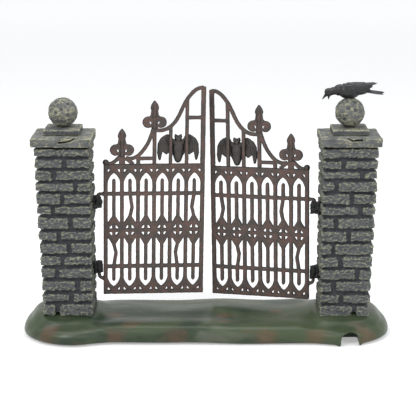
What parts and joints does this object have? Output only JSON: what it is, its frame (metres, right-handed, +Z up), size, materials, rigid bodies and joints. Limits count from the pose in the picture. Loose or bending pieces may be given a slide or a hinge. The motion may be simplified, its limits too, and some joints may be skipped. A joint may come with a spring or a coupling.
{
  "type": "miniature iron driveway gate with stone pillars on a base",
  "caption": "Tabletop miniature of an iron driveway gate: two hinged lattice leaves with bats and finials between stone pillars on a painted base, with a crow on one ball.",
  "frame": {"origin": "middle of the footprint, on the underside of the base", "axes": "+X along the gate to the viewer's right, +Y away from the viewer, +Z up"},
  "size_m": [0.2232, 0.0652, 0.1533],
  "materials": {
    "painted_base": "glossy moulded resin, muted green with rust patches",
    "pillar_stone": "cast resin painted as rough stone, pale dry brushing on the edges",
    "cap_stone": "cast resin painted as pitted khaki stone",
    "hinge_block": "black, lumpy",
    "crow": "near black, satin",
    "bat": "dark grey, matte",
    "iron": "dark brown iron with rust"
  },
  "bodies": {
    "posts": {"base": "painted_base", "left_pillar": "pillar_stone", "left_cap_slab": "cap_stone", "left_cap_step": "cap_stone", "left_ball": "cap_stone", "left_hinge_block_lower": "hinge_block", "left_hinge_block_upper": "hinge_block", "right_pillar": "pillar_stone", "right_cap_slab": "cap_stone", "right_cap_step": "cap_stone", "right_ball": "cap_stone", "right_hinge_block_lower": "hinge_block", "right_hinge_block_upper": "hinge_block", "crow": "crow"},
    "left_leaf": {"left_grille": "iron", "left_crest": "iron", "left_outer_finial": "iron", "left_inner_finial": "iron", "left_bat": "bat", "left_corner_knob": "iron", "left_hinge_pin_lower": "iron", "left_hinge_pin_upper": "iron"},
    "right_leaf": {"right_grille": "iron", "right_crest": "iron", "right_outer_finial": "iron", "right_inner_finial": "iron", "right_bat": "bat", "right_corner_knob": "iron", "right_hinge_pin_lower": "iron", "right_hinge_pin_upper": "iron"}
  },
  "joints": [
    {"name": "left_leaf_hinge", "type": "hinge", "parent": "posts", "child": "left_leaf", "pos_m": [-0.065, 0, 0.0607], "axis": [0, 0, 1], "range_deg": [-91.5, 78.5]},
    {"name": "right_leaf_hinge", "type": "hinge", "parent": "posts", "child": "right_leaf", "pos_m": [0.065, 0, 0.0573], "axis": [0, 0, 1], "range_deg": [-70, 100]}
  ]
}
